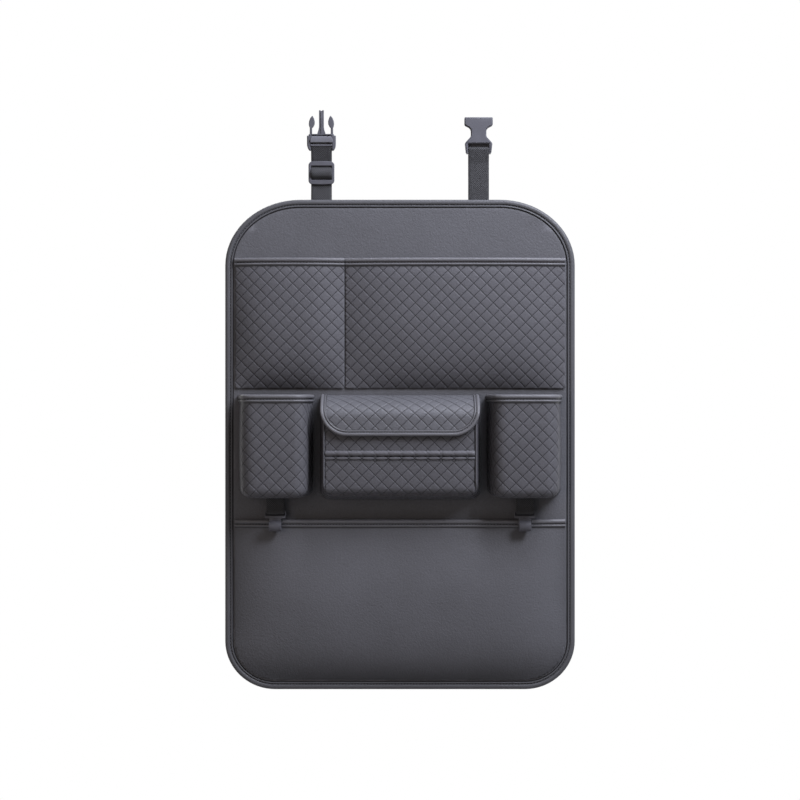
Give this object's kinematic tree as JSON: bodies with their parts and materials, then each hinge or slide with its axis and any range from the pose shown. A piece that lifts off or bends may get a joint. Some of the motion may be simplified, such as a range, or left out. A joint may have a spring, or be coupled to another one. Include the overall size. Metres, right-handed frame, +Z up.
{
  "type": "car seat back organizer",
  "caption": "Flat padded panel of quilted imitation leather with pockets, cup pouches, a flapped tissue pouch and bag hooks, hung behind a car seat by two buckle straps.",
  "frame": {"origin": "middle of the back lining's flat back face, which lies against the seat", "axes": "+Z up towards the straps, +Y back into the seat, +X to the right of a person facing the pockets"},
  "size_m": [0.42, 0.0617, 0.696],
  "materials": {
    "smooth_leather": "fine-grained dark grey imitation leather, soft sheen",
    "quilted_leather": "imitation leather embossed with a diamond lattice, soft sheen",
    "hem_leather": "folded strip of imitation leather, stitched",
    "binding_leather": "folded binding of imitation leather, stitched",
    "lining_fabric": "plain woven black lining",
    "stiffening_board": "plain pressed board, hidden inside",
    "webbing": "flat woven black webbing",
    "black_plastic": "satin black moulded plastic",
    "magnet_metal": "plated magnetic snap, hidden inside"
  },
  "bodies": {
    "root": {"back_lining": "lining_fabric", "core_board": "stiffening_board", "face_panel": "smooth_leather", "edge_binding": "binding_leather", "upper_left_pocket": "quilted_leather", "upper_left_hem": "hem_leather", "upper_right_pocket": "quilted_leather", "upper_right_hem": "hem_leather", "bottom_pocket": "smooth_leather", "bottom_hem": "hem_leather", "tissue_gusset": "quilted_leather", "tissue_face_upper": "quilted_leather", "tissue_face_lower": "quilted_leather", "tissue_flap": "quilted_leather", "flap_binding": "binding_leather", "flap_magnet": "magnet_metal", "pouch_magnet": "magnet_metal", "cup_pouch_left": "quilted_leather", "cup_hem_left": "hem_leather", "cup_pouch_right": "quilted_leather", "cup_hem_right": "hem_leather", "hook_tab_left": "webbing", "hook_tab_right": "webbing", "left_strap": "webbing", "tri_glide": "black_plastic", "male_buckle": "black_plastic", "right_strap": "webbing", "female_buckle": "black_plastic"},
    "hook_left": {"bag_hook_left": "black_plastic"},
    "hook_right": {"bag_hook_right": "black_plastic"}
  },
  "joints": [
    {"name": "hook_left_swing", "type": "hinge", "parent": "root", "child": "hook_left", "pos_m": [-0.1488, -0.0196, -0.0805], "axis": [-1, 0, 0], "range_deg": [0, 75]},
    {"name": "hook_right_swing", "type": "hinge", "parent": "root", "child": "hook_right", "pos_m": [0.1488, -0.0196, -0.0805], "axis": [-1, 0, 0], "range_deg": [0, 75]}
  ]
}
